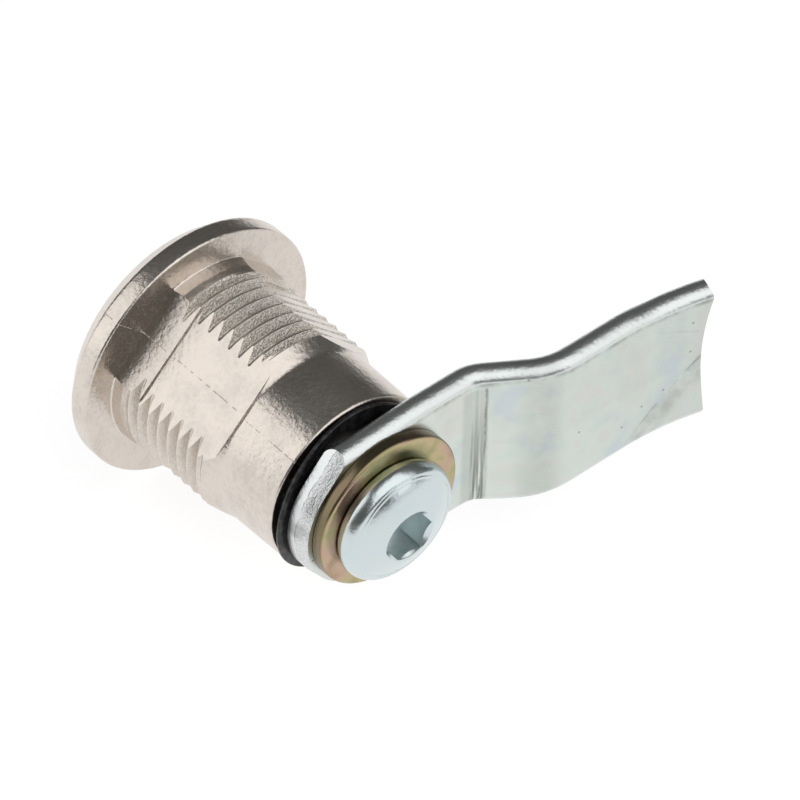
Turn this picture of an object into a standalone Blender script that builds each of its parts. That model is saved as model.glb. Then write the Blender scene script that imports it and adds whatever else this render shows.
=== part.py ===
"""Quarter-turn cam lock with a nickel-plated die-cast housing and a cranked steel cam.

Frame: +Y is the lock axis, from the head to the cam screw, and Y = 0 is the rear face of the
flange, which seats on the panel. -X points along the cam and +Z across it. All sizes are metres.
"""

import math

import bmesh
import bpy
from mathutils import Matrix, Vector

MM = 0.001

# Fits between pieces
SEAT_GAP = 0.1 * MM
RUNNING_GAP = 0.2 * MM

# Housing, outside
FLANGE_RADIUS = 14.35 * MM
FLANGE_THICKNESS = 4.1 * MM
FLANGE_BEVEL = 2.0 * MM
EDGE_ROUND = 0.3 * MM
NECK_RADIUS = 11.1 * MM
NECK_LENGTH = 2.2 * MM
THREAD_MAJOR_RADIUS = 10.9 * MM
THREAD_END = 13.6 * MM
THREAD_RUNOUT = 1.7 * MM
BARREL_RADIUS = 10.05 * MM
BARREL_END_RADIUS = 9.9 * MM
HOUSING_LENGTH = 23.0 * MM

# Two pairs of flats on the thread, turned 45 degrees from the cam, each with a land at the flange
DEEP_FLAT_ANGLES = (math.radians(45.0), math.radians(225.0))
DEEP_FLAT_DISTANCE = 9.1 * MM
DEEP_FLAT_END = 14.6 * MM
DEEP_FLAT_RAMP = 1.0 * MM
SHALLOW_FLAT_ANGLES = (math.radians(135.0), math.radians(315.0))
SHALLOW_FLAT_DISTANCE = 10.1 * MM
LAND_HEIGHT = 0.4 * MM
LAND_LENGTH = 3.7 * MM

# Housing, inside
FRONT_BORE_RADIUS = 7.9 * MM
FRONT_BORE_CHAMFER = 0.5 * MM
SHOULDER_PLACE = 8.0 * MM
SHAFT_BORE_RADIUS = 6.2 * MM
REAR_RECESS_RADIUS = 8.3 * MM
REAR_RECESS_DEPTH = 4.0 * MM

# Quarter-turn stop: a lug on the insert in a curved pocket of the housing's shoulder
TRAVEL = math.radians(90.0)
LUG_ANGLE = math.radians(44.0)
LUG_DEPTH = 2.2 * MM
LUG_DIRECTION = math.radians(-90.0)
STOP_CLEARANCE = math.radians(1.5)

# Driver insert
DRIVER_SQUARE = 8.0 * MM
DRIVER_RECESS = 0.6 * MM
DRIVER_CHAMFER = 0.6 * MM
INSERT_HEAD_FRONT = 2.0 * MM
TAIL_SQUARE = 8.0 * MM
TAIL_STANDBACK = 0.4 * MM
SCREW_HOLE_DEPTH = 13.0 * MM

# O-ring
ORING_SECTION = 1.5 * MM
ORING_GROOVE_PLACE = 5.2 * MM
ORING_GROOVE_WIDTH = 2.0 * MM

# Cam: a strip of rolled-edge steel, cranked once and with its tongue drawn up a little
CAM_FRONT = 24.6 * MM
CAM_THICKNESS = 2.8 * MM
CAM_WIDTH = 17.65 * MM
CAM_OFFSET = 0.675 * MM
CAM_EDGE_ROUND = 1.1 * MM
NOSE_RADIUS = 9.2 * MM
NOSE_SHEAR_ANGLE = math.radians(40.0)
CRANK_START = 12.9 * MM
CRANK_ANGLE = math.radians(33.0)
CRANK_OFFSET = 4.4 * MM
CRANK_RADIUS_NEAR = 2.4 * MM
CRANK_RADIUS_FAR = 5.0 * MM
TONGUE_CURVE_START = 29.0 * MM
TONGUE_CURVE_RADIUS = 36.0 * MM
CAM_REACH = 37.85 * MM
TIP_CUT_RADIUS = 29.0 * MM
TIP_CUT_OFFSET = 0.4 * MM

# Bowed spring washer that fills the space between the housing's rim and the cam, off the axis too
SPRING_OUTER_RADIUS = 9.6 * MM
SPRING_HOLE_RADIUS = 6.7 * MM
SPRING_SHIFT = 0.5 * MM
SPRING_THICKNESS = 0.45 * MM
SPRING_RISE_ANGLE = math.radians(12.0)

# Flat washer, which lies a little off the axis, and screw
WASHER_RADIUS = 8.7 * MM
WASHER_HOLE_RADIUS = 3.3 * MM
WASHER_THICKNESS = 1.3 * MM
WASHER_SHIFT = -0.35 * MM
SCREW_RADIUS = 2.85 * MM
SCREW_LENGTH = 12.0 * MM
SCREW_HEAD_RADIUS = 6.85 * MM
SCREW_CROWN_RADIUS = 6.2 * MM
SCREW_HEAD_SIDE = 2.35 * MM
SCREW_DOME_HEIGHT = 1.9 * MM
SOCKET_ACROSS_FLATS = 5.0 * MM
SOCKET_DEPTH = 3.0 * MM
SOCKET_TURN = math.radians(-3.0)

# Facets
ROUND_STEPS = 96
SMALL_STEPS = 60

# Places that follow from the sizes above
CAM_REAR = CAM_FRONT + CAM_THICKNESS
WASHER_FRONT = CAM_REAR + SEAT_GAP
WASHER_REAR = WASHER_FRONT + WASHER_THICKNESS
HEAD_FRONT = WASHER_REAR + SEAT_GAP
INSERT_SHOULDER = SHOULDER_PLACE - SEAT_GAP
SHAFT_RADIUS = SHAFT_BORE_RADIUS - RUNNING_GAP
INSERT_HEAD_RADIUS = FRONT_BORE_RADIUS - RUNNING_GAP
SHAFT_END = CAM_FRONT - SEAT_GAP
TAIL_END = CAM_REAR - TAIL_STANDBACK
DRIVER_FRONT = DRIVER_RECESS - FLANGE_THICKNESS
SCREW_TIP = HEAD_FRONT - SCREW_LENGTH
SCREW_HOLE_RADIUS = SCREW_RADIUS + RUNNING_GAP


def clear_scene():
    for obj in list(bpy.data.objects):
        bpy.data.objects.remove(obj, do_unlink=True)


def new_collection(name):
    collection = bpy.data.collections.new(name)
    bpy.context.scene.collection.children.link(collection)
    return collection


def new_material(name, color, roughness, metallic):
    material = bpy.data.materials.new(name)
    material.use_nodes = True
    shader = material.node_tree.nodes["Principled BSDF"]
    shader.inputs["Base Color"].default_value = (*color, 1.0)
    shader.inputs["Roughness"].default_value = roughness
    shader.inputs["Metallic"].default_value = metallic
    return material


def new_object(name, mesh, collection, material=None):
    obj = bpy.data.objects.new(name, mesh)
    collection.objects.link(obj)
    if material:
        mesh.materials.append(material)
    return obj


def arc(center, radius, start, end, count):
    """Points (radius, place) on an arc in the profile plane, from the start angle to the end angle."""
    angles = [start + (end - start) * i / count for i in range(count + 1)]
    return [(center[0] + radius * math.cos(a), center[1] + radius * math.sin(a)) for a in angles]


def turned(name, profile, collection, material=None, steps=ROUND_STEPS):
    """A profile of (radius, place along Y) points, outer side front to rear, turned round Y."""
    mesh = bpy.data.meshes.new(name)
    points = [(radius, place, 0.0) for radius, place in reversed(profile)]
    last = len(points) - 1
    edges = [(i, i + 1) for i in range(last)]
    ends_on_axis = profile[0][0] == 0.0
    if not ends_on_axis:
        edges.append((last, 0))
    mesh.from_pydata(points, edges, [])
    obj = new_object(name, mesh, collection, material)
    screw = obj.modifiers.new("turn", "SCREW")
    screw.axis = "Y"
    screw.steps = steps
    screw.render_steps = steps
    screw.use_merge_vertices = True
    screw.merge_threshold = 0.00001
    screw.use_smooth_shade = True
    return obj


def prism(name, outline, depth, matrix, collection):
    """An outline in the XY plane, extruded to both sides by half the depth, then placed."""
    mesh = bpy.data.meshes.new(name)
    work = bmesh.new()
    face = work.faces.new([work.verts.new((x, y, -depth / 2)) for x, y in outline])
    if face.normal.z > 0:
        face.normal_flip()
    top = bmesh.ops.extrude_face_region(work, geom=[face], use_keep_orig=True)
    moved = [item for item in top["geom"] if isinstance(item, bmesh.types.BMVert)]
    bmesh.ops.translate(work, verts=moved, vec=(0.0, 0.0, depth))
    bmesh.ops.recalc_face_normals(work, faces=work.faces)
    bmesh.ops.transform(work, matrix=matrix, verts=work.verts)
    bmesh.ops.recalc_face_normals(work, faces=work.faces)
    work.to_mesh(mesh)
    work.free()
    return new_object(name, mesh, collection)


def along_axis(start, end):
    """The matrix that lays a prism's XY outline in the XZ plane and its depth on start to end of Y."""
    turn = Matrix(((1, 0, 0, 0), (0, 0, 1, 0), (0, 1, 0, 0), (0, 0, 0, 1)))
    return Matrix.Translation((0.0, (start + end) / 2, 0.0)) @ turn


def boolean(obj, other, operation):
    modifier = obj.modifiers.new(operation.lower() + "_" + other.name, "BOOLEAN")
    modifier.operation = operation
    modifier.object = other
    modifier.solver = "EXACT"
    return modifier


def hide_cutter(obj):
    obj.hide_render = True
    obj.display_type = "WIRE"
    return obj


def smooth(obj, angle=30.0):
    """Shade smooth, with edges above the angle kept sharp."""
    obj.data.shade_smooth()
    obj.data.set_sharp_from_angle(angle=math.radians(angle))


def square(size, chamfer=0.0):
    half = size / 2
    inner = half - chamfer
    if chamfer == 0.0:
        return [(half, -half), (half, half), (-half, half), (-half, -half)]
    return [
        (half, -inner), (half, inner), (inner, half), (-inner, half),
        (-half, inner), (-half, -inner), (-inner, -half), (inner, -half),
    ]


def sector(inner, outer, middle, half_angle, steps=24):
    """Outline of a ring sector round the lock axis, in the XZ plane."""
    angles = [middle - half_angle + 2 * half_angle * i / steps for i in range(steps + 1)]
    outside = [(outer * math.cos(a), outer * math.sin(a)) for a in angles]
    inside = [(inner * math.cos(a), inner * math.sin(a)) for a in reversed(angles)]
    return outside + inside


def flat_cutter(name, angle, distance, runout, collection):
    """What is cut away outside one flat: past its land by the flange, along the flat and its runout."""
    reach = FLANGE_RADIUS
    outline = [
        (distance + LAND_HEIGHT, 0.0),
        (reach, 0.0),
        (reach, runout[-1][1]),
        *reversed(runout),
        (distance, LAND_LENGTH),
        (distance + LAND_HEIGHT, LAND_LENGTH),
    ]
    turn = Matrix.Rotation(-angle, 4, "Y")
    return hide_cutter(prism(name, outline, 2 * reach, turn, collection))


def build_housing(parts, cutters, material):
    bevel_start = FLANGE_BEVEL - FLANGE_THICKNESS
    recess_floor = HOUSING_LENGTH - REAR_RECESS_DEPTH
    profile = [
        (FRONT_BORE_RADIUS, FRONT_BORE_CHAMFER - FLANGE_THICKNESS),
        (FRONT_BORE_RADIUS + FRONT_BORE_CHAMFER, -FLANGE_THICKNESS),
        (FLANGE_RADIUS - FLANGE_BEVEL, -FLANGE_THICKNESS),
        (FLANGE_RADIUS, bevel_start),
        *arc((FLANGE_RADIUS - EDGE_ROUND, -EDGE_ROUND), EDGE_ROUND, 0.0, math.pi / 2, 3),
        (NECK_RADIUS, 0.0),
        (NECK_RADIUS, NECK_LENGTH),
        (THREAD_MAJOR_RADIUS, NECK_LENGTH),
        (THREAD_MAJOR_RADIUS, THREAD_END),
        (BARREL_RADIUS, THREAD_END + THREAD_RUNOUT),
        *arc(
            (BARREL_END_RADIUS - EDGE_ROUND, HOUSING_LENGTH - EDGE_ROUND), EDGE_ROUND,
            0.0, math.pi / 2, 3,
        ),
        (REAR_RECESS_RADIUS, HOUSING_LENGTH),
        (REAR_RECESS_RADIUS, recess_floor),
        (SHAFT_BORE_RADIUS, recess_floor),
        (SHAFT_BORE_RADIUS, SHOULDER_PLACE),
        (FRONT_BORE_RADIUS, SHOULDER_PLACE),
    ]
    housing = turned("housing", profile, parts, material)
    deep_ramp = [
        (DEEP_FLAT_DISTANCE, DEEP_FLAT_END), (BARREL_RADIUS, DEEP_FLAT_END + DEEP_FLAT_RAMP),
    ]
    cone_end = THREAD_END + THREAD_RUNOUT
    shallow_end = [(SHALLOW_FLAT_DISTANCE, cone_end)]
    for index, angle in enumerate(DEEP_FLAT_ANGLES, 1):
        cutter = flat_cutter(f"cut_deep_{index}", angle, DEEP_FLAT_DISTANCE, deep_ramp, cutters)
        boolean(housing, cutter, "DIFFERENCE")
    for index, angle in enumerate(SHALLOW_FLAT_ANGLES, 1):
        cutter = flat_cutter(
            f"cut_shallow_{index}", angle, SHALLOW_FLAT_DISTANCE, shallow_end, cutters,
        )
        boolean(housing, cutter, "DIFFERENCE")
    pocket_half = (TRAVEL + LUG_ANGLE) / 2 + STOP_CLEARANCE
    pocket_end = SHOULDER_PLACE + LUG_DEPTH
    pocket_outline = sector(SHAFT_RADIUS, INSERT_HEAD_RADIUS, LUG_DIRECTION, pocket_half)
    pocket = hide_cutter(prism(
        "cut_stop_pocket", pocket_outline, pocket_end - ORING_GROOVE_PLACE,
        along_axis(ORING_GROOVE_PLACE, pocket_end), cutters,
    ))
    boolean(housing, pocket, "DIFFERENCE")
    smooth(housing)
    return housing


def build_insert(parts, cutters, material):
    groove_front = ORING_GROOVE_PLACE - ORING_GROOVE_WIDTH / 2
    groove_rear = ORING_GROOVE_PLACE + ORING_GROOVE_WIDTH / 2
    groove_radius = INSERT_HEAD_RADIUS - ORING_SECTION - SEAT_GAP
    profile = [
        (0.0, INSERT_HEAD_FRONT),
        (INSERT_HEAD_RADIUS, INSERT_HEAD_FRONT),
        (INSERT_HEAD_RADIUS, groove_front),
        (groove_radius, groove_front),
        (groove_radius, groove_rear),
        (INSERT_HEAD_RADIUS, groove_rear),
        (INSERT_HEAD_RADIUS, INSERT_SHOULDER),
        (SHAFT_RADIUS, INSERT_SHOULDER),
        (SHAFT_RADIUS, SHAFT_END),
        (0.0, SHAFT_END),
    ]
    insert = turned("driver_insert", profile, parts, material)
    middle = (INSERT_HEAD_FRONT + INSERT_SHOULDER) / 2
    driver = hide_cutter(prism(
        "join_driver_square", square(DRIVER_SQUARE, DRIVER_CHAMFER), middle - DRIVER_FRONT,
        along_axis(DRIVER_FRONT, middle), cutters,
    ))
    tail = hide_cutter(prism(
        "join_tail_square", square(TAIL_SQUARE, DRIVER_CHAMFER), TAIL_END - SHOULDER_PLACE,
        along_axis(SHOULDER_PLACE, TAIL_END), cutters,
    ))
    lug_outline = sector(
        SHAFT_RADIUS - RUNNING_GAP, INSERT_HEAD_RADIUS - RUNNING_GAP, LUG_DIRECTION, LUG_ANGLE / 2,
    )
    lug_end = SHOULDER_PLACE + LUG_DEPTH - RUNNING_GAP
    lug_start = (groove_rear + INSERT_SHOULDER) / 2
    lug = hide_cutter(prism(
        "join_stop_lug", lug_outline, lug_end - lug_start, along_axis(lug_start, lug_end), cutters,
    ))
    for piece in (driver, tail, lug):
        boolean(insert, piece, "UNION")
    hole_profile = [
        (0.0, TAIL_END - SCREW_HOLE_DEPTH),
        (SCREW_HOLE_RADIUS, TAIL_END - SCREW_HOLE_DEPTH),
        (SCREW_HOLE_RADIUS, TAIL_END + EDGE_ROUND),
        (0.0, TAIL_END + EDGE_ROUND),
    ]
    hole = hide_cutter(turned("cut_screw_hole", hole_profile, cutters, steps=SMALL_STEPS))
    boolean(insert, hole, "DIFFERENCE")
    smooth(insert)
    return insert


def build_oring(parts, material):
    groove_radius = INSERT_HEAD_RADIUS - ORING_SECTION - SEAT_GAP
    center = groove_radius + SEAT_GAP + ORING_SECTION / 2
    section = arc((center, ORING_GROOVE_PLACE), ORING_SECTION / 2, 0.0, 2 * math.pi, 12)[:-1]
    oring = turned("oring", section, parts, material, SMALL_STEPS)
    smooth(oring, 60.0)
    return oring


def tongue_slope(reach):
    """Slope angle of the strip at a reach on its tongue's curve."""
    return math.asin((reach - TONGUE_CURVE_START) / TONGUE_CURVE_RADIUS)


def cam_centre_line():
    """(reach, place) points of the strip's middle line: hub, crank of two bends, curved tongue."""
    middle = CAM_FRONT + CAM_THICKNESS / 2
    raised = middle + CRANK_OFFSET
    tangent = math.tan(CRANK_ANGLE / 2)
    near_start = CRANK_START - CRANK_RADIUS_NEAR * tangent
    far_end = CRANK_START + CRANK_OFFSET / math.tan(CRANK_ANGLE) + CRANK_RADIUS_FAR * tangent
    near = arc(
        (near_start, middle + CRANK_RADIUS_NEAR), CRANK_RADIUS_NEAR,
        -math.pi / 2, CRANK_ANGLE - math.pi / 2, 6,
    )
    far = arc(
        (far_end, raised - CRANK_RADIUS_FAR), CRANK_RADIUS_FAR,
        CRANK_ANGLE + math.pi / 2, math.pi / 2, 8,
    )
    tongue = arc(
        (TONGUE_CURVE_START, raised + TONGUE_CURVE_RADIUS), TONGUE_CURVE_RADIUS,
        -math.pi / 2, tongue_slope(CAM_REACH + CAM_THICKNESS) - math.pi / 2, 8,
    )
    return [(-NOSE_RADIUS - CAM_THICKNESS, middle), *near, *far, *tongue]


def blank_outline():
    """Outline of the blank seen along the lock axis: round nose with a sheared corner, long tip."""
    upper = CAM_OFFSET + CAM_WIDTH
    lower = CAM_OFFSET - CAM_WIDTH
    end = -CAM_REACH - CAM_WIDTH
    nose = arc((0.0, 0.0), NOSE_RADIUS, -math.pi / 2, NOSE_SHEAR_ANGLE, 32)
    corner = Vector(nose[-1])
    shear = Vector((-math.sin(NOSE_SHEAR_ANGLE), math.cos(NOSE_SHEAR_ANGLE)))
    corner += shear * (upper - corner.y) / shear.y
    return [(0.0, lower), *nose, tuple(corner), (end, upper), (end, lower)]


def tip_cutter(cutters):
    """A round punch that crops the tongue's tip hollow, square to the strip's slope at the tip."""
    slope = tongue_slope(CAM_REACH)
    rise = TONGUE_CURVE_RADIUS * (1 - math.cos(slope))
    middle = CAM_FRONT + CAM_THICKNESS / 2 + CRANK_OFFSET + rise
    along = Vector((-math.cos(slope), math.sin(slope), 0.0))
    normal = Vector((math.sin(slope), math.cos(slope), 0.0))
    frame = Matrix((along, (0.0, 0.0, 1.0), normal)).transposed().to_4x4()
    spread = math.asin(CAM_WIDTH / TIP_CUT_RADIUS)
    center = (TIP_CUT_RADIUS, TIP_CUT_OFFSET)
    punch = arc(center, TIP_CUT_RADIUS, math.pi - spread, math.pi + spread, 32)
    place = Matrix.Translation((-CAM_REACH, middle, 0.0)) @ frame
    return hide_cutter(prism("cut_tip", punch, 3 * CAM_THICKNESS, place, cutters))


def build_cam(parts, cutters, material):
    mesh = bpy.data.meshes.new("cam")
    line = cam_centre_line()
    upper = CAM_OFFSET + CAM_WIDTH / 2
    lower = CAM_OFFSET - CAM_WIDTH / 2
    points = [(-reach, place, height) for reach, place in line for height in (lower, upper)]
    faces = [(2 * i, 2 * i + 1, 2 * i + 3, 2 * i + 2) for i in range(len(line) - 1)]
    mesh.from_pydata(points, [], faces)
    cam = new_object("cam", mesh, parts, material)
    wall = cam.modifiers.new("thickness", "SOLIDIFY")
    wall.thickness = CAM_THICKNESS
    wall.offset = 0.0
    wall.use_even_offset = True
    edge = cam.modifiers.new("rolled_edges", "BEVEL")
    edge.width = CAM_EDGE_ROUND
    edge.segments = 4
    edge.limit_method = "ANGLE"
    edge.angle_limit = math.radians(60.0)
    middle = CAM_FRONT + CAM_THICKNESS / 2
    depth = 2 * (CRANK_OFFSET + CAM_WIDTH)
    blank = hide_cutter(prism(
        "cut_blank", blank_outline(), depth,
        along_axis(middle - depth / 2, middle + depth / 2), cutters,
    ))
    boolean(cam, blank, "INTERSECT")
    boolean(cam, tip_cutter(cutters), "DIFFERENCE")
    hole = hide_cutter(prism(
        "cut_square_hole", square(TAIL_SQUARE + 2 * RUNNING_GAP), 2 * CAM_THICKNESS,
        along_axis(middle - CAM_THICKNESS, middle + CAM_THICKNESS), cutters,
    ))
    boolean(cam, hole, "DIFFERENCE")
    smooth(cam)
    return cam


def build_spring_washer(parts, material):
    """A thin ring bent about one line: its place rises with the square of the distance from it."""
    low = HOUSING_LENGTH + SEAT_GAP + SPRING_THICKNESS / 2
    rise = CAM_FRONT - SEAT_GAP - SPRING_THICKNESS / 2 - low
    points = []
    for i in range(ROUND_STEPS):
        angle = 2 * math.pi * i / ROUND_STEPS
        for radius in (SPRING_HOLE_RADIUS, SPRING_OUTER_RADIUS):
            away = radius * math.cos(angle - SPRING_RISE_ANGLE)
            place = low + rise * (away / SPRING_OUTER_RADIUS) ** 2
            points.append((radius * math.cos(angle), place, radius * math.sin(angle)))
    count = len(points)
    faces = [(i, i + 1, (i + 3) % count, (i + 2) % count) for i in range(0, count, 2)]
    mesh = bpy.data.meshes.new("spring_washer")
    mesh.from_pydata(points, [], faces)
    washer = new_object("spring_washer", mesh, parts, material)
    wall = washer.modifiers.new("thickness", "SOLIDIFY")
    wall.thickness = SPRING_THICKNESS
    wall.offset = 0.0
    washer.location.x = SPRING_SHIFT
    smooth(washer)
    return washer


def build_flat_washer(parts, material):
    round_edge = WASHER_THICKNESS / 4
    profile = [
        (WASHER_HOLE_RADIUS, WASHER_FRONT),
        (WASHER_RADIUS - round_edge, WASHER_FRONT),
        (WASHER_RADIUS, WASHER_FRONT + round_edge),
        *arc((WASHER_RADIUS - round_edge, WASHER_REAR - round_edge), round_edge, 0, math.pi / 2, 3),
        (WASHER_HOLE_RADIUS, WASHER_REAR),
    ]
    washer = turned("flat_washer", profile, parts, material, SMALL_STEPS)
    washer.location.x = WASHER_SHIFT
    smooth(washer)
    return washer


def build_screw(parts, cutters, material):
    bulge = SCREW_HEAD_RADIUS - SCREW_CROWN_RADIUS
    half_side = SCREW_HEAD_SIDE / 2
    side_radius = (half_side**2 + bulge**2) / (2 * bulge)
    side_angle = math.asin(half_side / side_radius)
    side_center = (SCREW_HEAD_RADIUS - side_radius, HEAD_FRONT + half_side)
    side = arc(side_center, side_radius, -side_angle, side_angle, 6)[:-1]
    ball = (SCREW_CROWN_RADIUS**2 + SCREW_DOME_HEIGHT**2) / (2 * SCREW_DOME_HEIGHT)
    crown_end = HEAD_FRONT + SCREW_HEAD_SIDE + SCREW_DOME_HEIGHT
    start = math.acos(SCREW_CROWN_RADIUS / ball)
    dome = arc((0.0, crown_end - ball), ball, start, math.pi / 2, 8)[:-1]
    tip_chamfer = SCREW_RADIUS / 4
    profile = [
        (0.0, SCREW_TIP),
        (SCREW_RADIUS - tip_chamfer, SCREW_TIP),
        (SCREW_RADIUS, SCREW_TIP + tip_chamfer),
        (SCREW_RADIUS, HEAD_FRONT),
        *side,
        *dome,
        (0.0, crown_end),
    ]
    screw = turned("cam_screw", profile, parts, material, SMALL_STEPS)
    corner = SOCKET_ACROSS_FLATS / (2 * math.cos(math.pi / 6))
    hexagon = arc((0.0, 0.0), corner, SOCKET_TURN, SOCKET_TURN + 2 * math.pi, 6)[:-1]
    floor = crown_end - SOCKET_DEPTH
    socket = hide_cutter(prism(
        "cut_socket", hexagon, 2 * SOCKET_DEPTH,
        along_axis(floor, floor + 2 * SOCKET_DEPTH), cutters,
    ))
    boolean(screw, socket, "DIFFERENCE")
    smooth(screw)
    return screw


def main():
    clear_scene()
    parts = new_collection("cam_lock")
    cutters = new_collection("cutters")
    nickel = new_material("nickel_plate", (0.72, 0.66, 0.60), 0.28, 1.0)
    insert_zinc = new_material("insert_zinc", (0.55, 0.55, 0.54), 0.38, 1.0)
    rubber = new_material("oring_rubber", (0.02, 0.02, 0.02), 0.6, 0.0)
    cam_zinc = new_material("cam_zinc_plate", (0.70, 0.73, 0.70), 0.35, 1.0)
    blued_steel = new_material("blued_spring_steel", (0.03, 0.03, 0.035), 0.4, 1.0)
    yellow_zinc = new_material("yellow_zinc_plate", (0.55, 0.43, 0.22), 0.35, 1.0)
    screw_zinc = new_material("screw_zinc_plate", (0.75, 0.79, 0.82), 0.3, 1.0)
    housing = build_housing(parts, cutters, nickel)
    turning = [
        build_insert(parts, cutters, insert_zinc),
        build_oring(parts, rubber),
        build_spring_washer(parts, blued_steel),
        build_cam(parts, cutters, cam_zinc),
        build_flat_washer(parts, yellow_zinc),
        build_screw(parts, cutters, screw_zinc),
    ]
    lock_axis = bpy.data.objects.new("lock_axis", None)
    parts.objects.link(lock_axis)
    lock_axis.parent = housing
    for piece in turning:
        piece.parent = lock_axis


main()
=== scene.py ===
"""Looks of a quarter-turn cam lock: nickel-plated housing, zinc-plated cam, washers and screw.

Lengths are millimetres times MM, places are in the part's frame, and angles round the lock axis
are measured from +X towards +Z. Place means the distance along +Y from the flange's rear face.
"""

import math

import bmesh
import bpy
import numpy as np
from mathutils import Matrix, Vector


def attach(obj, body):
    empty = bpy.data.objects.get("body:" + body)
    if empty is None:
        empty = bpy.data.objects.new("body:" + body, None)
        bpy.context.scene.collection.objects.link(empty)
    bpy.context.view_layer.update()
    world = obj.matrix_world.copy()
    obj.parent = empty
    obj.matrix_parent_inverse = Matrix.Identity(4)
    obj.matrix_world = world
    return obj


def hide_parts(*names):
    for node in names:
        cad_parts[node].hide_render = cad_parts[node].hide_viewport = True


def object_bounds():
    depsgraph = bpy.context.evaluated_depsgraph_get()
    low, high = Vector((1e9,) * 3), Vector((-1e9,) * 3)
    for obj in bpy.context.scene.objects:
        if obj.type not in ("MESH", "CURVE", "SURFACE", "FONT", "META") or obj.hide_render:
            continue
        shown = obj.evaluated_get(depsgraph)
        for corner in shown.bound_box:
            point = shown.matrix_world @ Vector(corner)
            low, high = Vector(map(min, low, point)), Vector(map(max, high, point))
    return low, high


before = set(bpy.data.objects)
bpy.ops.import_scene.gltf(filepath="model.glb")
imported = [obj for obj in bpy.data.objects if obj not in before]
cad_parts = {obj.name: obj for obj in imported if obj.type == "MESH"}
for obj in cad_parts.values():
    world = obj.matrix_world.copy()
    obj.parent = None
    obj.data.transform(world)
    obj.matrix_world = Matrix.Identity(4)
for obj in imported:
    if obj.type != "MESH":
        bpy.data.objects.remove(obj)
cad_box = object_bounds()


# Camera, at the photograph's viewing angle. It stands a metre away behind a long lens, so its
# picture is nearly parallel, and the lock lies a little left of the middle.
MM = 0.001
CAMERA_AZIMUTH = math.radians(138.03)
CAMERA_ELEVATION = math.radians(45.66)
CAMERA_ROLL = math.radians(1.72)
CAMERA_DISTANCE = 1000 * MM
CAMERA_ASIDE = 20.09 * MM
CAMERA_BELOW = 4.90 * MM
SENSOR_WIDTH = 36.0
LENS_LENGTH = 454.75

back = Vector((
    math.sin(CAMERA_AZIMUTH) * math.cos(CAMERA_ELEVATION),
    -math.cos(CAMERA_AZIMUTH) * math.cos(CAMERA_ELEVATION),
    math.sin(CAMERA_ELEVATION),
))
level = Vector((math.cos(CAMERA_AZIMUTH), math.sin(CAMERA_AZIMUTH), 0.0))
above = back.cross(level)
right = math.cos(CAMERA_ROLL) * level + math.sin(CAMERA_ROLL) * above
up = math.cos(CAMERA_ROLL) * above - math.sin(CAMERA_ROLL) * level
camera_data = bpy.data.cameras.new("camera")
camera_data.lens = LENS_LENGTH
camera_data.sensor_width = SENSOR_WIDTH
camera = bpy.data.objects.new("camera", camera_data)
bpy.context.scene.collection.objects.link(camera)
turn = Matrix((right, up, back)).transposed().to_4x4()
stand = back * CAMERA_DISTANCE + right * CAMERA_ASIDE - up * CAMERA_BELOW
camera.matrix_world = Matrix.Translation(stand) @ turn
bpy.context.scene.camera = camera
bpy.context.scene.view_settings.view_transform = "Standard"


# Floor and light. A pale glowing table lies under the lock. A large soft box hangs over it and
# reaches down at the right, a smaller lamp stands at the left, and the room around is dim, which
# gives the plated metal its dark reflections.
FLOOR_SIZE = 900 * MM
FLOOR_GAP = 0.2 * MM
FLOOR_COLOR = (0.30, 0.30, 0.30, 1.0)
FLOOR_GLOW = 0.87
ROOM_COLOR = (0.10, 0.102, 0.10, 1.0)
WHITE = (1.0, 1.0, 1.0, 1.0)
LAMP_DISTANCE = 1400 * MM
SOFT_BOX = (-0.14, 0.70, 0.70)
LAMPS = {
    "lamp_over": (SOFT_BOX, 0 * MM, 520 * MM, 1960 * MM, 2030 * MM, 1.2),
    "lamp_right": (SOFT_BOX, 520 * MM, -925 * MM, 920 * MM, 860 * MM, 1.2),
    "lamp_left": ((0.73, -0.51, 0.46), 0 * MM, 0 * MM, 1040 * MM, 1580 * MM, 1.2),
}


def connect(tree, node, inputs):
    """Sets a node's inputs to values, or links them from sockets."""
    for key, value in inputs.items():
        if isinstance(value, bpy.types.NodeSocket):
            tree.links.new(value, node.inputs[key])
        else:
            node.inputs[key].default_value = value


def add(tree, kind, inputs, **settings):
    """A shader node with its settings and inputs."""
    node = tree.nodes.new(kind)
    for key, value in settings.items():
        setattr(node, key, value)
    connect(tree, node, inputs)
    return node


def worked_out(tree, operation, *values):
    """The result of one sum on up to three values."""
    return add(tree, "ShaderNodeMath", dict(enumerate(values)), operation=operation).outputs[0]


def product(tree, first, *others):
    """The product of any number of values."""
    for value in others:
        first = worked_out(tree, "MULTIPLY", first, value)
    return first


def largest(tree, first, *others):
    """The largest of any number of values."""
    for value in others:
        first = worked_out(tree, "MAXIMUM", first, value)
    return first


def mixed(tree, share, first, second):
    """The first colour with a share of the second mixed in."""
    inputs = {"Factor": share, 6: first, 7: second}
    return add(tree, "ShaderNodeMix", inputs, data_type="RGBA").outputs[2]


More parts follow.
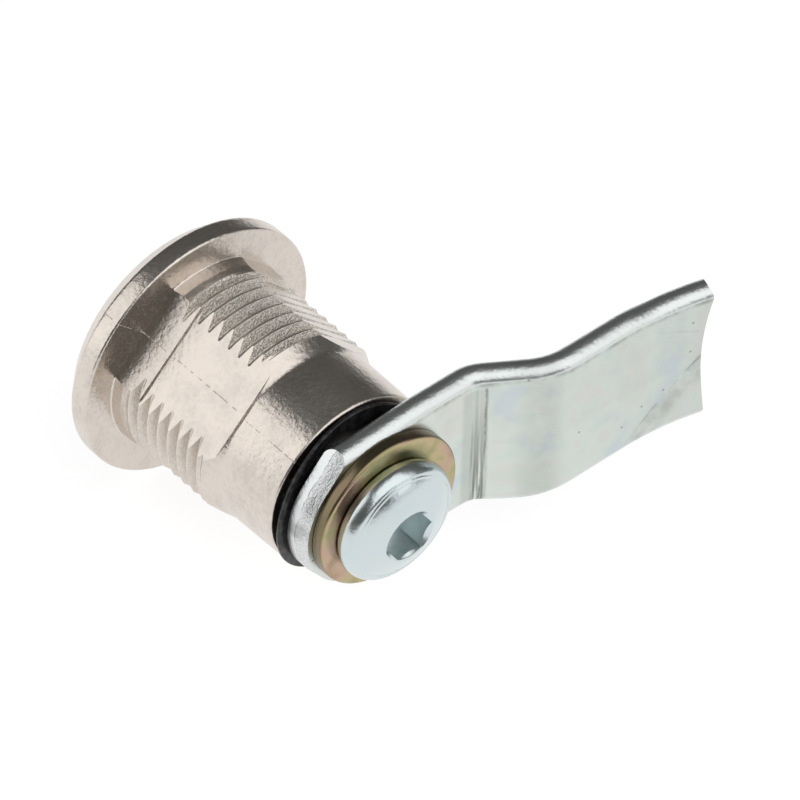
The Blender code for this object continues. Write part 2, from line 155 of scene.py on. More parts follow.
def make_floor():
    """A level square. It glows for camera, glossy and transmission rays, and not for rays that light."""
    half = FLOOR_SIZE / 2
    height = cad_box[0][2] - FLOOR_GAP
    corners = [(-half, -half, height), (half, -half, height), (half, half, height), (-half, half, height)]
    mesh = bpy.data.meshes.new("floor")
    mesh.from_pydata(corners, [], [(0, 1, 2, 3)])
    floor = bpy.data.objects.new("floor", mesh)
    bpy.context.scene.collection.objects.link(floor)
    material = bpy.data.materials.new("floor")
    material.use_nodes = True
    tree = material.node_tree
    tree.nodes.clear()
    lit = add(tree, "ShaderNodeBsdfDiffuse", {"Color": FLOOR_COLOR})
    ray = add(tree, "ShaderNodeLightPath", {}).outputs
    seen = largest(tree, ray["Is Camera Ray"], ray["Is Glossy Ray"], ray["Is Transmission Ray"])
    glow = add(tree, "ShaderNodeEmission", {"Strength": product(tree, seen, FLOOR_GLOW)})
    both = add(tree, "ShaderNodeAddShader", {0: lit.outputs[0], 1: glow.outputs[0]})
    add(tree, "ShaderNodeOutputMaterial", {"Surface": both.outputs[0]})
    mesh.materials.append(material)


def make_lamp(name, direction, aside, above, width, height, brightness):
    """A rectangular lamp square to the direction it shines from, moved aside and up in its own plane.

    Its power gives its face the brightness asked for.
    """
    lamp_data = bpy.data.lights.new(name, "AREA")
    lamp_data.shape = "RECTANGLE"
    lamp_data.size = width
    lamp_data.size_y = height
    lamp_data.energy = brightness * math.pi * width * height
    lamp = bpy.data.objects.new(name, lamp_data)
    bpy.context.scene.collection.objects.link(lamp)
    towards = Vector(direction).normalized()
    side = Vector((0.0, 0.0, 1.0)).cross(towards).normalized()
    upward = towards.cross(side)
    place = towards * LAMP_DISTANCE + side * aside + upward * above
    lamp.matrix_world = Matrix.Translation(place) @ Matrix((side, upward, towards)).transposed().to_4x4()


def make_world():
    """A dim room in reflections and in the light, and plain white behind the object."""
    world = bpy.data.worlds.new("room")
    world.use_nodes = True
    tree = world.node_tree
    tree.nodes.clear()
    ray = add(tree, "ShaderNodeLightPath", {}).outputs
    color = mixed(tree, ray["Is Camera Ray"], ROOM_COLOR, WHITE)
    room = add(tree, "ShaderNodeBackground", {"Color": color, "Strength": 1.0})
    add(tree, "ShaderNodeOutputWorld", {"Surface": room.outputs[0]})
    bpy.context.scene.world = world


make_floor()
make_world()
for lamp_name, lamp_values in LAMPS.items():
    make_lamp(lamp_name, *lamp_values)


# Housing: one zinc die casting, plated with nickel. A thick flange with a bevelled front carries a
# barrel with a right-handed M22 x 1.5 thread, two pairs of flats of unlike depth with a raised land
# at the flange, a cone and a smooth rear end. Bored from the front for the insert.
FLANGE_RADIUS = 14.35 * MM
FLANGE_THICKNESS = 4.1 * MM
FLANGE_BEVEL = 2.0 * MM
NECK_RADIUS = 11.0 * MM
THREAD_START = 2.0 * MM
THREAD_END = 13.6 * MM
CREST_RADIUS = 10.9 * MM
ROOT_RADIUS = 10.0 * MM
PITCH = 1.5 * MM
ROOT_PLACE = 3.15 * MM
ROOT_HALF = 0.15 * MM
CREST_HALF = 0.08 * MM
THREAD_SOFTENING = 0.05 * MM
THREAD_SNAP = 0.01 * MM
CONE_END = 15.3 * MM
BARREL_RADIUS = 10.0 * MM
BARREL_END_RADIUS = 9.87 * MM
HOUSING_LENGTH = 23.0 * MM
FRONT_BORE_RADIUS = 7.9 * MM
FRONT_BORE_CHAMFER = 0.5 * MM
SHOULDER_PLACE = 8.0 * MM
SHAFT_BORE_RADIUS = 6.2 * MM
RECESS_RADIUS = 8.3 * MM
RECESS_DEPTH = 4.0 * MM
DEEP_ANGLES = (45.0, 225.0)
DEEP_DISTANCE = 9.1 * MM
DEEP_END = 14.6 * MM
DEEP_RAMP = 1.0 * MM
SHALLOW_ANGLES = (135.0, 315.0)
SHALLOW_DISTANCE = 10.1 * MM
LAND_HEIGHT = 0.25 * MM
LAND_LENGTH = 3.7 * MM
LAND_DRAFT = math.radians(5.5)
POCKET_MIDDLE = -90.0
POCKET_HALF = 68.5
POCKET_RADIUS = 7.7 * MM
POCKET_END = 10.2 * MM
HOUSING_COLUMNS = 288
FLAT_TOLERANCE = 0.3
HOUSING_SHARP = 24.0
MERGE_DISTANCE = 0.002 * MM
NICKEL = (0.70, 0.635, 0.575, 1.0)
NICKEL_DULL = (0.61, 0.555, 0.505, 1.0)
PIT_COLOR = (0.60, 0.56, 0.51, 1.0)
GRAIN_COLOR = (0.94, 0.88, 0.81, 1.0)
PEEL_DEPTH = 0.05 * MM
GRAIN_DEPTH = 0.22 * MM
PARTING_HALF = 0.06 * MM
PARTING_DEPTH = 0.025 * MM


def rounded(corners, steps=4):
    """A line of (radius, place, fillet) corners with an arc, tangent to both sides, at each fillet."""
    line = [Vector(corners[0][:2])]
    for before, corner, after in zip(corners, corners[1:], corners[2:]):
        here = Vector(corner[:2])
        fillet = corner[2]
        first = (Vector(before[:2]) - here).normalized()
        second = (Vector(after[:2]) - here).normalized()
        half = first.angle(second) / 2
        if fillet == 0.0 or half > math.radians(89.9):
            line.append(here)
            continue
        center = here + (first + second).normalized() * fillet / math.sin(half)
        start = here + first * fillet / math.tan(half) - center
        sweep = start.angle_signed(here + second * fillet / math.tan(half) - center)
        for i in range(steps + 1):
            turned = start.copy()
            turned.rotate(Matrix.Rotation(-sweep * i / steps, 2))
            line.append(center + turned)
    line.append(Vector(corners[-1][:2]))
    return np.array([tuple(point) for point in line])


def around(radius, place, angle):
    """Points at those radii, places and angles round the lock axis, as an array of x, y, z."""
    radius, place, angle = np.broadcast_arrays(radius, place, angle)
    return np.stack([radius * np.cos(angle), place, radius * np.sin(angle)], axis=-1)


def shade(piece, sharp_degrees):
    """Shades the piece smooth but for the edges that turn by more than the angle."""
    piece.data.shade_smooth()
    piece.data.set_sharp_from_angle(angle=math.radians(sharp_degrees))


def solid_from_grid(name, points, sharp_degrees=32.0):
    """A closed mesh of the quads between neighbouring points of a grid, with doubles merged."""
    rows, columns = points.shape[:2]
    index = np.arange(rows * columns).reshape(rows, columns)
    quads = np.stack([index[:-1, :-1], index[1:, :-1], index[1:, 1:], index[:-1, 1:]], axis=-1)
    mesh = bpy.data.meshes.new(name)
    mesh.from_pydata(points.reshape(-1, 3).tolist(), [], quads.reshape(-1, 4).tolist())
    work = bmesh.new()
    work.from_mesh(mesh)
    bmesh.ops.remove_doubles(work, verts=work.verts, dist=MERGE_DISTANCE)
    bmesh.ops.recalc_face_normals(work, faces=work.faces)
    work.to_mesh(mesh)
    work.free()
    piece = bpy.data.objects.new(name, mesh)
    bpy.context.scene.collection.objects.link(piece)
    shade(piece, sharp_degrees)
    return piece


def thread_rows(angle):
    """Radius and place of each thread row at each angle.

    A row keeps its phase, so its place falls by one pitch over a full turn of the angle. The radius
    follows flat root, flank and flat crest, softened at the corners, and rises to the crest at both
    ends, where rows that would pass an end stay on it.
    """
    flank_end = PITCH / 2 - CREST_HALF
    soft = THREAD_SOFTENING
    half_turn = np.array([
        0.0, ROOT_HALF - soft, ROOT_HALF, ROOT_HALF + soft,
        (ROOT_HALF + flank_end) / 2,
        flank_end - soft, flank_end, flank_end + soft / 2, PITCH / 2,
    ])
    whole_turn = np.concatenate([half_turn, PITCH - half_turn[-2:0:-1]])
    turns = math.ceil((THREAD_END - THREAD_START) / PITCH) + 2
    first = THREAD_START - ROOT_PLACE
    phase = (np.arange(-1, turns)[:, None] * PITCH + whole_turn).ravel()
    phase = np.concatenate([[first], phase[phase > first]])
    place = phase[:, None] + ROOT_PLACE - PITCH * angle / (2 * math.pi)
    place = np.where(place < THREAD_START + THREAD_SNAP, THREAD_START, place)
    place = np.where(place > THREAD_END - THREAD_SNAP, THREAD_END, place)
    away = np.abs((phase + PITCH / 2) % PITCH - PITCH / 2)
    rise = (away - ROOT_HALF) / (flank_end - ROOT_HALF)
    blur = soft / (flank_end - ROOT_HALF)
    low = np.where(np.abs(rise) < blur, (rise + blur) ** 2 / (4 * blur), np.maximum(rise, 0.0))
    top = 1.0 - low
    high = np.where(np.abs(top) < blur, (top + blur) ** 2 / (4 * blur), np.maximum(top, 0.0))
    depth = (CREST_RADIUS - ROOT_RADIUS) * high[:, None]
    fade = np.clip(np.minimum(place - THREAD_START, THREAD_END - place) / (0.5 * PITCH), 0.0, 1.0)
    return CREST_RADIUS - depth * fade * fade * (3 - 2 * fade), place


def prism(name, outline, matrix):
    """A closed block: an outline in its XY plane, one unit deep along Z, then placed by the matrix."""
    count = len(outline)
    points = [(x, y, z) for z in (-0.5, 0.5) for x, y in outline]
    sides = [(i, (i + 1) % count, (i + 1) % count + count, i + count) for i in range(count)]
    mesh = bpy.data.meshes.new(name)
    mesh.from_pydata(points, [], [tuple(range(count)), tuple(range(count, 2 * count)), *sides])
    mesh.transform(matrix)
    work = bmesh.new()
    work.from_mesh(mesh)
    bmesh.ops.recalc_face_normals(work, faces=work.faces)
    work.to_mesh(mesh)
    work.free()
    block = bpy.data.objects.new(name, mesh)
    bpy.context.scene.collection.objects.link(block)
    return block


def cut(piece, blocks, sharp_degrees=32.0):
    """Cuts the blocks out of the piece, removes them and shades the result again."""
    for block in blocks:
        modifier = piece.modifiers.new(block.name, "BOOLEAN")
        modifier.operation = "DIFFERENCE"
        modifier.object = block
    graph = bpy.context.evaluated_depsgraph_get()
    mesh = bpy.data.meshes.new_from_object(piece.evaluated_get(graph))
    piece.modifiers.clear()
    piece.data = mesh
    for block in blocks:
        bpy.data.objects.remove(block)
    shade(piece, sharp_degrees)


def shade_flats(piece, angles):
    """Shades the flats and the lands, which look back by their draft, as flat, so they show as planes."""
    normals = np.zeros(3 * len(piece.data.polygons))
    piece.data.polygons.foreach_get("normal", normals)
    x, y, z = normals.reshape(-1, 3).T
    turned = np.radians(angles)[:, None]
    outward = (x * np.cos(turned) + z * np.sin(turned)).max(axis=0)
    drafted = outward * math.cos(LAND_DRAFT) + y * math.sin(LAND_DRAFT)
    aligned = np.maximum(outward, drafted)
    piece.data.polygons.foreach_set("use_smooth", aligned < math.cos(math.radians(FLAT_TOLERANCE)))


def flat_block(name, degrees, distance, runout):
    """What lies outside one flat: beyond its land by the flange, then along the flat and its runout."""
    reach = FLANGE_RADIUS
    land = distance + LAND_HEIGHT
    outline = [
        (land + LAND_LENGTH * math.tan(LAND_DRAFT), 0.0), (reach, 0.0), (reach, runout[-1][1]),
        *reversed(runout), (distance, LAND_LENGTH), (land, LAND_LENGTH),
    ]
    wide = Matrix.Diagonal((1.0, 1.0, 2 * reach, 1.0))
    return prism(name, outline, Matrix.Rotation(-math.radians(degrees), 4, "Y") @ wide)


def along_axis(start, end):
    """The matrix that lays a block's outline in the XZ plane and its depth from start to end of Y."""
    swap = Matrix(((1, 0, 0, 0), (0, 0, end - start, 0), (0, 1, 0, 0), (0, 0, 0, 1)))
    return Matrix.Translation((0.0, (start + end) / 2, 0.0)) @ swap


def ring_part(inner, outer, middle_degrees, half_degrees, steps=24):
    """Outline of a part of a ring, from its two radii, its middle angle and half its spread."""
    angle = np.radians(np.linspace(middle_degrees - half_degrees, middle_degrees + half_degrees, steps))
    outside = np.stack([outer * np.cos(angle), outer * np.sin(angle)], axis=-1)
    inside = np.stack([inner * np.cos(angle), inner * np.sin(angle)], axis=-1)[::-1]
    return np.concatenate([outside, inside]).tolist()


def make_housing():
    """A turned body with the blocks outside its flats and the pocket for the insert's lug cut out.

    Its rows run from the bore over the flange and along the thread to the rear and back in, and its
    columns are even angles round the axis.
    """
    angle = np.linspace(0.0, 2 * math.pi, HOUSING_COLUMNS + 1)
    front = -FLANGE_THICKNESS
    before = rounded([
        (SHAFT_BORE_RADIUS, SHOULDER_PLACE, 0.0),
        (FRONT_BORE_RADIUS, SHOULDER_PLACE, 0.2 * MM),
        (FRONT_BORE_RADIUS, front + FRONT_BORE_CHAMFER, 0.2 * MM),
        (FRONT_BORE_RADIUS + FRONT_BORE_CHAMFER, front, 0.25 * MM),
        (FLANGE_RADIUS - FLANGE_BEVEL, front, 0.8 * MM),
        (FLANGE_RADIUS, front + FLANGE_BEVEL, 0.6 * MM),
        (FLANGE_RADIUS, 0.0, 0.25 * MM),
        (NECK_RADIUS, 0.0, 0.2 * MM),
        (NECK_RADIUS, 0.7 * THREAD_START, 0.3 * MM),
        (CREST_RADIUS, THREAD_START, 0.0),
    ])
    recess_floor = HOUSING_LENGTH - RECESS_DEPTH
    after = rounded([
        (CREST_RADIUS, THREAD_END, 0.0),
        (BARREL_RADIUS, CONE_END, 1.2 * MM),
        (BARREL_END_RADIUS, HOUSING_LENGTH, 0.25 * MM),
        (RECESS_RADIUS, HOUSING_LENGTH, 0.2 * MM),
        (RECESS_RADIUS, recess_floor, 0.2 * MM),
        (SHAFT_BORE_RADIUS, recess_floor, 0.2 * MM),
        (SHAFT_BORE_RADIUS, SHOULDER_PLACE, 0.0),
    ], steps=6)
    thread_radius, thread_place = thread_rows(angle)
    ones = np.ones_like(angle)
    radius = np.concatenate([before[:, :1] * ones, thread_radius, after[:, :1] * ones])
    place = np.concatenate([before[:, 1:] * ones, thread_place, after[:, 1:] * ones])
    housing = solid_from_grid("housing_casting", around(radius, place, angle))
    deep_runout = [(DEEP_DISTANCE, DEEP_END), (BARREL_RADIUS + 0.05 * MM, DEEP_END + DEEP_RAMP)]
    shallow_runout = [(SHALLOW_DISTANCE, CONE_END)]
    blocks = [flat_block(f"deep_{a:.0f}", a, DEEP_DISTANCE, deep_runout) for a in DEEP_ANGLES]
    blocks += [flat_block(f"shallow_{a:.0f}", a, SHALLOW_DISTANCE, shallow_runout) for a in SHALLOW_ANGLES]
    pocket = ring_part(SHAFT_BORE_RADIUS - 0.2 * MM, POCKET_RADIUS, POCKET_MIDDLE, POCKET_HALF)
    blocks.append(prism("pocket", pocket, along_axis(SHOULDER_PLACE - 1.0 * MM, POCKET_END)))
    cut(housing, blocks, HOUSING_SHARP)
    shade_flats(housing, (*DEEP_ANGLES, *SHALLOW_ANGLES))
    return housing


def run(tree, value, start, end, first=0.0, last=1.0):
    """Runs from the first to the last number while the value runs from start to end."""
    inputs = {"Value": value, "From Min": start, "From Max": end, "To Min": first, "To Max": last}
    return add(tree, "ShaderNodeMapRange", inputs).outputs[0]


def band(tree, value, middle, half, soft):
    """One where the value lies within half of the middle, and nought beyond a soft edge."""
    distance = worked_out(tree, "ABSOLUTE", worked_out(tree, "SUBTRACT", value, middle))
    inputs = {"Value": distance, "From Min": half, "From Max": half + soft, "To Min": 1.0, "To Max": 0.0}
    return add(tree, "ShaderNodeMapRange", inputs, interpolation_type="SMOOTHSTEP").outputs[0]


def noise(tree, where, scale, detail=3.0, roughness=0.5):
    """Cloudy values about a half, with so many clouds to the metre."""
    inputs = {"Vector": where, "Scale": scale, "Detail": detail, "Roughness": roughness}
    return add(tree, "ShaderNodeTexNoise", inputs).outputs[0]


def dented(tree, height, depth, strength=1.0, **under):
    """The direction of a surface that is uneven by the depth, over the Normal given, if any."""
    inputs = {"Height": height, "Strength": strength, "Distance": depth, **under}
    return add(tree, "ShaderNodeBump", inputs).outputs[0]


def new_finish(name):
    """A new material, its nodes and shader, and the places and directions of the surface it is on."""
    material = bpy.data.materials.new(name)
    material.use_nodes = True
    tree = material.node_tree
    surface = add(tree, "ShaderNodeTexCoord", {}).outputs
    return material, tree, tree.nodes["Principled BSDF"], surface["Object"], surface["Normal"]


def plated_casting():
    """Nickel over a casting: an uneven skin, pitted thread flanks and a fine, broken parting ridge.

    The flank mask takes faces that slope along the axis, within the thread's places and radii. The
    pits fade where the flanks are worn, on the side of the parting plane that faces down and away from
    the cam. The ridge rises where the distance from the parting plane is nearly nought.
    """
    material, tree, shader, where, facing = new_finish("nickel_casting")
    along = add(tree, "ShaderNodeSeparateXYZ", {0: where}).outputs["Y"]
    slope = worked_out(tree, "ABSOLUTE", add(tree, "ShaderNodeSeparateXYZ", {0: facing}).outputs["Y"])
    sloped = run(tree, slope, 0.55, 0.72)
    thread_middle = (THREAD_START + THREAD_END) / 2
    threaded = worked_out(tree, "COMPARE", along, thread_middle, THREAD_END - thread_middle)
    flat = add(tree, "ShaderNodeVectorMath", {0: where, 1: (1.0, 0.0, 1.0)}, operation="MULTIPLY")
    radius = add(tree, "ShaderNodeVectorMath", {0: flat.outputs[0]}, operation="LENGTH").outputs["Value"]
    flank = product(tree, sloped, threaded, worked_out(tree, "LESS_THAN", radius, NECK_RADIUS))
    peel = noise(tree, where, 1900.0, 2.0)
    grain = noise(tree, where, 4600.0, 2.0, 0.6)
    cloud = noise(tree, where, 260.0, 3.0, 0.6)
    across = {0: where, 1: (math.sqrt(0.5), 0.0, -math.sqrt(0.5))}
    aside = add(tree, "ShaderNodeVectorMath", across, operation="DOT_PRODUCT").outputs["Value"]
    pits = product(tree, flank, run(tree, aside, 0.0, 4.0 * MM, 1.0, 0.2))
    broken = product(tree, band(tree, aside, 0.0, 0.0, PARTING_HALF), run(tree, peel, 0.42, 0.58))
    peeled = dented(tree, peel, PEEL_DEPTH)
    grained = dented(tree, grain, GRAIN_DEPTH, pits, Normal=peeled)
    ridged = dented(tree, broken, PARTING_DEPTH, Normal=grained)
    dull = run(tree, worked_out(tree, "MULTIPLY_ADD", peel, 0.6, cloud), 0.72, 1.0)
    plain = mixed(tree, dull, NICKEL, NICKEL_DULL)
    grainy = mixed(tree, run(tree, grain, 0.40, 0.58), PIT_COLOR, GRAIN_COLOR)
    connect(tree, shader, {
        "Base Color": mixed(tree, pits, plain, grainy),
        "Roughness": run(tree, flank, 0.0, 1.0, 0.28, 0.45),
        "Normal": ridged,
        "Metallic": 1.0,
    })
    return material


housing = make_housing()
housing.data.materials.clear()
housing.data.materials.append(plated_casting())
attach(housing, "housing")
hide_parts("housing")


# Driver insert: the turning core, a plated zinc casting. A square driver stands in the head's bore, a
# round shaft runs through the housing, and a square tail carries the cam, tapped for its screw.
INSERT_HEAD_RADIUS = 7.7 * MM
INSERT_HEAD_FRONT = 2.0 * MM
INSERT_SHOULDER = 7.9 * MM
SHAFT_RADIUS = 6.0 * MM
SHAFT_END = 24.5 * MM
DRIVER_FRONT = -3.5 * MM
SQUARE = 8.0 * MM
SQUARE_CHAMFER = 0.6 * MM
TAIL_END = 27.0 * MM
SCREW_HOLE_RADIUS = 3.05 * MM
SCREW_HOLE_END = 14.0 * MM
GROOVE_PLACE = 5.2 * MM
GROOVE_WIDTH = 2.0 * MM
GROOVE_RADIUS = 6.1 * MM
LUG_END = 10.0 * MM
LUG_RADIUS = 7.5 * MM
LUG_HALF = 22.0
LUG_EDGE = 0.0001
SQUARE_END_DRAW = 0.5 * MM
SQUARE_END_CHAMFER = 0.25 * MM
INSERT_HEAD_CHAMFER = 0.2 * MM
INSERT_COLUMNS = 144
INSERT_NICKEL = (0.70, 0.655, 0.60, 1.0)
INSERT_NICKEL_PALE = (0.80, 0.74, 0.68, 1.0)


def square_radius(angle, size, chamfer):
    """Distance to the side of a square with cut corners, in the direction of each angle."""
    across = np.maximum(np.abs(np.cos(angle)), np.abs(np.sin(angle)))
    corner = (np.abs(np.cos(angle)) + np.abs(np.sin(angle))) / (size - chamfer)
    return 1.0 / np.maximum(across / (size / 2), corner)


def square_angles(size, chamfer, columns):
    """Even angles round the axis, with the square's corners among them."""
    first = math.atan2(size / 2 - chamfer, size / 2)
    corners = [k * math.pi / 2 + sign * first for k in range(5) for sign in (-1, 1)]
    even = np.linspace(0.0, 2 * math.pi, columns + 1)
    inside = [c for c in corners if 0.0 < c < 2 * math.pi]
    return np.sort(np.concatenate([even, inside]))


def make_insert():
    """Rows along the axis, each a circle or the square's outline, at angles with the square's corners.

    The stop lug stands out of the shaft where the angle is within its spread.
    """
    lug_edges = np.radians([270.0 - LUG_HALF, 270.0 + LUG_HALF])
    angle = square_angles(SQUARE, SQUARE_CHAMFER, INSERT_COLUMNS)
    angle = np.sort(np.concatenate([angle, lug_edges, lug_edges + (-LUG_EDGE, LUG_EDGE)]))
    tip = square_radius(angle, SQUARE - SQUARE_END_DRAW, SQUARE_CHAMFER)
    side = square_radius(angle, SQUARE, SQUARE_CHAMFER)
    lugged = np.abs(angle - math.radians(270.0)) <= math.radians(LUG_HALF) + LUG_EDGE / 2
    shaft = np.full_like(angle, SHAFT_RADIUS)
    lug = np.where(lugged, LUG_RADIUS, SHAFT_RADIUS)
    ones = np.ones_like(angle)
    groove_front = GROOVE_PLACE - GROOVE_WIDTH / 2
    groove_rear = GROOVE_PLACE + GROOVE_WIDTH / 2
    rows = [
        (0.0 * ones, DRIVER_FRONT), (tip, DRIVER_FRONT), (side, DRIVER_FRONT + SQUARE_END_CHAMFER),
        (side, INSERT_HEAD_FRONT), ((INSERT_HEAD_RADIUS - INSERT_HEAD_CHAMFER) * ones, INSERT_HEAD_FRONT),
        (INSERT_HEAD_RADIUS * ones, INSERT_HEAD_FRONT + INSERT_HEAD_CHAMFER),
        (INSERT_HEAD_RADIUS * ones, groove_front), (GROOVE_RADIUS * ones, groove_front),
        (GROOVE_RADIUS * ones, groove_rear), (INSERT_HEAD_RADIUS * ones, groove_rear),
        (INSERT_HEAD_RADIUS * ones, INSERT_SHOULDER), (lug, INSERT_SHOULDER), (lug, LUG_END),
        (shaft, LUG_END), (shaft, SHAFT_END), (side, SHAFT_END),
        (side, TAIL_END - SQUARE_END_CHAMFER), (tip, TAIL_END), (SCREW_HOLE_RADIUS * ones, TAIL_END),
        (SCREW_HOLE_RADIUS * ones, SCREW_HOLE_END), (0.0 * ones, SCREW_HOLE_END),
    ]
    radius = np.stack([row[0] for row in rows])
    place = np.array([row[1] for row in rows])[:, None]
    return solid_from_grid("turning_insert", around(radius, place, angle))


def satin_nickel():
    """Nickel on the insert, duller than the housing's, with fine pores."""
    material, tree, shader, where, _ = new_finish("insert_nickel")
    connect(tree, shader, {
        "Base Color": mixed(tree, noise(tree, where, 400.0, 2.0), INSERT_NICKEL, INSERT_NICKEL_PALE),
        "Roughness": 0.34,
        "Normal": dented(tree, noise(tree, where, 3000.0), 0.012 * MM),
        "Metallic": 1.0,
    })
    return material


insert = make_insert()
insert.data.materials.append(satin_nickel())
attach(insert, "rotor")
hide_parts("driver_insert")


# O-ring: a moulded ring of black rubber with a round section. It lies in the insert's groove and
# seals the bore of the housing's head.
ORING_SECTION = 1.5 * MM
ORING_CENTER = 6.95 * MM
RUBBER_BLACK = (0.018, 0.018, 0.018, 1.0)


def make_oring():
    """A circle of the section's size carried round the lock axis."""
    angle = np.linspace(0.0, 2 * math.pi, 97)
    section = np.linspace(0.0, 2 * math.pi, 25)[:, None]
    radius = ORING_CENTER + ORING_SECTION / 2 * np.cos(section)
    place = GROOVE_PLACE + ORING_SECTION / 2 * np.sin(section)
    return solid_from_grid("seal_ring", around(radius, place, angle), sharp_degrees=60.0)


def rubber():
    """Black rubber, shinier in patches."""
    material, tree, shader, where, _ = new_finish("seal_rubber")
    connect(tree, shader, {
        "Base Color": RUBBER_BLACK,
        "Roughness": run(tree, noise(tree, where, 900.0), 0.0, 1.0, 0.5, 0.75),
    })
    return material


oring = make_oring()
oring.data.materials.append(rubber())
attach(oring, "rotor")
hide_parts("oring")


# Spring washer: a thin ring of blackened spring steel, bent about one line, which fills the space
# between the housing's rim and the cam and keeps the cam from rattling.
CAM_FRONT = 24.6 * MM
SPRING_OUTER = 9.6 * MM
SPRING_HOLE = 6.7 * MM
SPRING_MIDDLE = 8.0 * MM
SPRING_SHIFT = 0.5 * MM
SPRING_THICKNESS = 0.45 * MM
SPRING_GAP = 0.1 * MM
SPRING_RISE_ANGLE = math.radians(12.0)
OXIDE_BLACK = (0.020, 0.020, 0.022, 1.0)
OXIDE_WORN = (0.10, 0.10, 0.105, 1.0)


def make_spring_washer():
    """A ring of rounded section whose place rises with the square of the distance from one line."""
    angle = np.linspace(0.0, 2 * math.pi, 193)
    half = SPRING_THICKNESS / 2
    section = rounded([
        (SPRING_HOLE, 0.0, 0.0), (SPRING_HOLE, half, 0.08 * MM), (SPRING_MIDDLE, half, 0.0),
        (SPRING_OUTER, half, 0.16 * MM), (SPRING_OUTER, -half, 0.16 * MM), (SPRING_MIDDLE, -half, 0.0),
        (SPRING_HOLE, -half, 0.08 * MM), (SPRING_HOLE, 0.0, 0.0),
    ])
    radius = section[:, :1] * np.ones_like(angle)
    low = HOUSING_LENGTH + SPRING_GAP + half
    rise = CAM_FRONT - SPRING_GAP - half - low
    away = radius * np.cos(angle - SPRING_RISE_ANGLE) / SPRING_OUTER
    place = low + rise * away**2 + section[:, 1:]
    points = around(radius, place, angle) + (SPRING_SHIFT, 0.0, 0.0)
    return solid_from_grid("bowed_washer", points, sharp_degrees=40.0)


def black_oxide():
    """Blackened steel: dark and satin, with small worn spots that show more light."""
    material, tree, shader, where, _ = new_finish("black_spring_steel")
    wear = noise(tree, where, 1200.0, 4.0)
    connect(tree, shader, {
        "Base Color": mixed(tree, run(tree, wear, 0.45, 0.8), OXIDE_BLACK, OXIDE_WORN),
        "Roughness": 0.33,
        "Normal": dented(tree, wear, 0.01 * MM),
        "Metallic": 0.6,
    })
    return material


spring_washer = make_spring_washer()
spring_washer.data.materials.append(black_oxide())
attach(spring_washer, "rotor")
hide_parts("spring_washer")


# Cam: a strip of steel with rolled edges, bent twice into a crank and zinc plated. Its nose is
# cropped to an arc about the lock axis, with a sheared corner, and its tip is cropped hollow.
CAM_THICKNESS = 2.8 * MM
CAM_WIDTH = 17.65 * MM
CAM_OFFSET = 0.675 * MM
EDGE_ACROSS = 1.15 * MM
EDGE_THROUGH = 1.35 * MM
NOSE_RADIUS = 9.2 * MM
NOSE_SHEAR_ANGLE = math.radians(40.0)
NOSE_BLEND_END = 4.0 * MM
CRANK_START = 12.9 * MM
CRANK_ANGLE = math.radians(33.0)
CRANK_OFFSET = 4.4 * MM
CRANK_RADIUS_NEAR = 4.2 * MM
CRANK_RADIUS_FAR = 8.0 * MM
BEND_SPREAD = 0.45 * MM
BEND_SPREAD_REACH = 17.0 * MM
BEND_SPREAD_LENGTH = 3.5 * MM
NOSE_DROP = 0.5 * MM
NOSE_DROP_START = 6.0 * MM
NOSE_DROP_LENGTH = 10.0 * MM
TIP_DROP = 0.28 * MM
TIP_DROP_START = 29.0 * MM
TIP_DROP_LENGTH = 4.0 * MM
TIP_CORNER = 0.5 * MM
TIP_CORNER_HEIGHT = 1.2 * MM
TIP_STRAIGHT_SHARE = 0.3
TONGUE_CURVE_START = 29.0 * MM
TONGUE_CURVE_RADIUS = 36.0 * MM
TIP_BLEND_START = 33.0 * MM
CAM_REACH = 37.85 * MM
TIP_CUT_RADIUS = 29.0 * MM
TIP_CUT_OFFSET = 0.4 * MM
CAM_HOLE = 8.4 * MM
CROP_LEAN = 0.3 * MM
CROP_ROUND = 0.12 * MM
CAM_ROWS = (
    (-NOSE_RADIUS, 11.0 * MM, 26), (11.2 * MM, 14.8 * MM, 19), (15.2 * MM, 17.6 * MM, 5),
    (17.9 * MM, 21.5 * MM, 19), (22.5 * MM, 29.0 * MM, 6), (29.8 * MM, CAM_REACH, 16),
)
END_ROWS = (0.93, 0.85, 0.76, 0.66, 0.55, 0.3, 0.0)
PRESS_REACH = 11.6 * MM
STREAK_REACH = 12.75 * MM
CREASE_REACH = 13.4 * MM
CREST_REACH = 13.05 * MM
MARKS_TOP = 8.2 * MM
FAR_BEND_REACH = 18.25 * MM
SCRATCH_START = (29.3 * MM, -6.5 * MM)
SCRATCH_END = (36.7 * MM, 0.1 * MM)
RUB_START = (30.0 * MM, 7.5 * MM)
RUB_END = (37.0 * MM, 4.4 * MM)
TEAR_PLACE = CAM_FRONT + 1.25 * MM
TEAR_WAVE = 0.9 * MM
MARK_WAVE = 0.3 * MM
ZINC_FILM = (
    (0.36, (0.57, 0.63, 0.65)), (0.43, (0.62, 0.675, 0.635)), (0.52, (0.65, 0.70, 0.65)),
    (0.58, (0.66, 0.665, 0.635)), (0.66, (0.62, 0.68, 0.61)),
)
ZINC_TIP_SHADE = (0.40, 0.44, 0.44, 1.0)
ZINC_ROLLED_AND_HIGHLIGHT = (0.70, 0.735, 0.72, 1.0)
ZINC_CROPPED = (0.72, 0.74, 0.74, 1.0)
ZINC_CREST_HIGHLIGHT = (0.78, 0.80, 0.77, 1.0)
GRIT_COLOR = (0.40, 0.41, 0.41, 1.0)
TEAR_COLOR = (0.16, 0.16, 0.16, 1.0)
DIRT_AND_SHADE_COLOR = (0.18, 0.19, 0.17, 1.0)
SKIN_DEPTH = 0.008 * MM
RIPPLE_DEPTH = 0.05 * MM
MARK_DEPTH = 0.025 * MM


